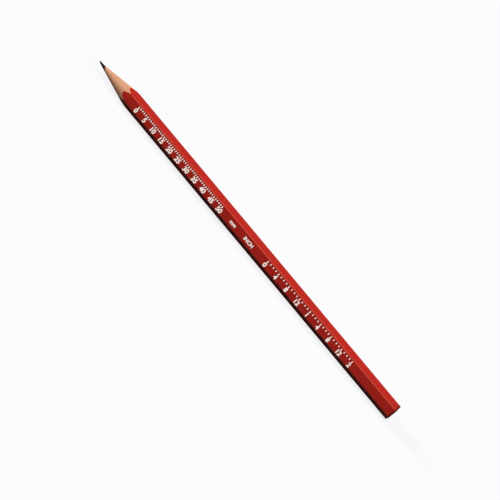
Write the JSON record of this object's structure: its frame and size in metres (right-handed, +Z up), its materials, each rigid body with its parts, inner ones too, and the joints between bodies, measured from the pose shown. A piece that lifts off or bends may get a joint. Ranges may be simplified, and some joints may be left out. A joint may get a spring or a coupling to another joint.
{
  "type": "marking pencil",
  "caption": "Hexagonal wood-cased marking pencil with a red lacquered barrel, a sharpened wood cone and a thin dark core, lying on one flat.",
  "frame": {"origin": "middle of the pencil's length, on the plane that its lower flat rests on", "axes": "+X along the barrel from the point to the butt end, +Z up out of the upper flat, +Y to the rear corner of the barrel"},
  "size_m": [0.178, 0.0076, 0.0068],
  "materials": {
    "lacquer": "glossy red lacquer",
    "undercoat": "matt pale filler coat",
    "cedar": "bare cedar, freshly cut",
    "glue": "dried wood glue",
    "core": "satin dark core of clay, wax and pigment"
  },
  "bodies": {
    "root": {"lead_core": "core", "core_glue_sleeve": "glue", "upper_slat": "cedar", "lower_slat": "cedar", "front_glue_line": "glue", "rear_glue_line": "glue", "undercoat": "undercoat", "red_lacquer": "lacquer"}
  },
  "joints": []
}
